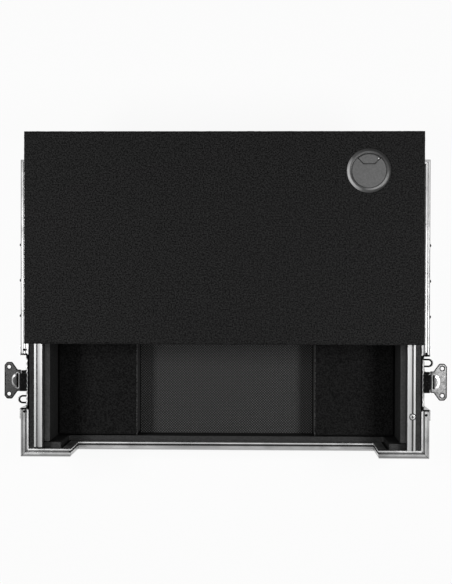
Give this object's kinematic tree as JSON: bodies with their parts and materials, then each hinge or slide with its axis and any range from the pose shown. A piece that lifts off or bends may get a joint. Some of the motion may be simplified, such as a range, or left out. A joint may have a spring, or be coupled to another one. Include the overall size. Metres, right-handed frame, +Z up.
{
  "type": "controller flight case",
  "caption": "Open flight case base with a lowered front, butterfly latches, side handles and a sliding carpeted laptop platform over a foam-lined gear well.",
  "frame": {"origin": "middle of the part on the ground, under the case and the platform that overhangs its back", "axes": "+X to the right seen from the front, +Y to the back, +Z up"},
  "size_m": [0.697, 0.5084, 0.225],
  "materials": {
    "laminate": "black laminated plywood, fine stipple",
    "aluminium": "mill aluminium extrusion, satin",
    "bright_steel": "bright plated steel",
    "dark_steel": "plated steel in shade, dark",
    "foam": "charcoal closed-cell foam, matt",
    "carpet": "board wrapped in short black carpet",
    "matting": "fine diagonal weave, dark grey",
    "rubber": "black rubber",
    "plastic": "grey moulded plastic, fine texture"
  },
  "bodies": {
    "case": {"floor_panel": "laminate", "front_wall": "laminate", "back_wall": "laminate", "left_wall": "laminate", "right_wall": "laminate", "left_rail_board": "laminate", "right_rail_board": "laminate", "left_rail": "aluminium", "right_rail": "aluminium", "rim_back": "aluminium", "rim_right_front": "aluminium", "rim_right_rear": "aluminium", "rim_left_rear": "aluminium", "rim_left_front": "aluminium", "rim_front_left": "aluminium", "rim_front_right": "aluminium", "rim_step_left": "aluminium", "rim_step_right": "aluminium", "rim_front_center": "aluminium", "bottom_edge_front": "aluminium", "bottom_edge_back": "aluminium", "bottom_edge_left": "aluminium", "bottom_edge_right": "aluminium", "corner_edge_front_left": "aluminium", "corner_edge_front_right": "aluminium", "corner_edge_rear_left": "aluminium", "corner_edge_rear_right": "aluminium", "ball_corner_front_left": "bright_steel", "ball_corner_front_right": "bright_steel", "ball_corner_rear_left": "bright_steel", "ball_corner_rear_right": "bright_steel", "foot_front_left": "rubber", "foot_front_right": "rubber", "foot_rear_left": "rubber", "foot_rear_right": "rubber", "front_lining": "foam", "back_lining": "foam", "left_lining": "foam", "right_lining": "foam", "left_bed": "carpet", "right_bed": "carpet", "floor_mat": "matting", "left_latch_dish": "bright_steel", "left_handle_dish": "bright_steel", "right_latch_dish": "bright_steel", "right_handle_dish": "bright_steel"},
    "platform": {"platform_board": "carpet", "platform_left_leg": "aluminium", "platform_right_leg": "aluminium", "grommet_liner": "plastic"},
    "grommet_cap": {"grommet_cap": "plastic"},
    "grommet_flap": {"grommet_flap": "plastic"},
    "left_latch_drum": {"left_latch_drum": "dark_steel"},
    "left_latch_hook": {"left_latch_hook": "dark_steel"},
    "left_latch_wing": {"left_latch_wing": "bright_steel"},
    "left_handle_bail": {"left_handle_bail": "bright_steel"},
    "right_latch_drum": {"right_latch_drum": "dark_steel"},
    "right_latch_hook": {"right_latch_hook": "dark_steel"},
    "right_latch_wing": {"right_latch_wing": "bright_steel"},
    "right_handle_bail": {"right_handle_bail": "bright_steel"}
  },
  "joints": [
    {"name": "platform_slide", "type": "slide", "parent": "case", "child": "platform", "axis": [0, 1, 0], "range_m": [-0.16, 0.06]},
    {"name": "grommet_cap_turn", "type": "hinge", "parent": "platform", "child": "grommet_cap", "pos_m": [0.2177, 0.19525, 0.223], "axis": [0, 0, 1], "continuous": true},
    {"name": "grommet_flap_swing", "type": "hinge", "parent": "grommet_cap", "child": "grommet_flap", "pos_m": [0.2177, 0.20515, 0.2184], "axis": [1, 0, 0], "range_deg": [-75, 0], "stiffness_Nm_per_rad": 0.003, "springref_deg": 11.46},
    {"name": "left_drum_turn", "type": "hinge", "parent": "case", "child": "left_latch_drum", "pos_m": [-0.3175, -0.12855, 0.134], "axis": [-1, 0, 0], "range_deg": [0, 180]},
    {"name": "left_wing_fold", "type": "hinge", "parent": "left_latch_drum", "child": "left_latch_wing", "pos_m": [-0.3185, -0.12855, 0.134], "axis": [0, -1, 0], "range_deg": [0, 90]},
    {"name": "left_hook_draw", "type": "slide", "parent": "case", "child": "left_latch_hook", "axis": [0, 0, 1], "range_m": [-0.01, 0]},
    {"name": "left_handle_swing", "type": "hinge", "parent": "case", "child": "left_handle_bail", "pos_m": [-0.3115, 0.02965, 0.1155], "axis": [0, 1, 0], "range_deg": [0, 90], "stiffness_Nm_per_rad": 0.1, "springref_deg": -17.19},
    {"name": "right_drum_turn", "type": "hinge", "parent": "case", "child": "right_latch_drum", "pos_m": [0.3175, -0.12855, 0.134], "axis": [1, 0, 0], "range_deg": [0, 180]},
    {"name": "right_wing_fold", "type": "hinge", "parent": "right_latch_drum", "child": "right_latch_wing", "pos_m": [0.3185, -0.12855, 0.134], "axis": [0, 1, 0], "range_deg": [0, 90]},
    {"name": "right_hook_draw", "type": "slide", "parent": "case", "child": "right_latch_hook", "axis": [0, 0, 1], "range_m": [-0.01, 0]},
    {"name": "right_handle_swing", "type": "hinge", "parent": "case", "child": "right_handle_bail", "pos_m": [0.3115, 0.02965, 0.1155], "axis": [0, -1, 0], "range_deg": [0, 90], "stiffness_Nm_per_rad": 0.1, "springref_deg": -17.19}
  ],
  "couplings": [
    {"joint": "left_hook_draw", "follows": "left_drum_turn", "m_per_rad": -0.003183},
    {"joint": "right_hook_draw", "follows": "right_drum_turn", "m_per_rad": -0.003183}
  ]
}
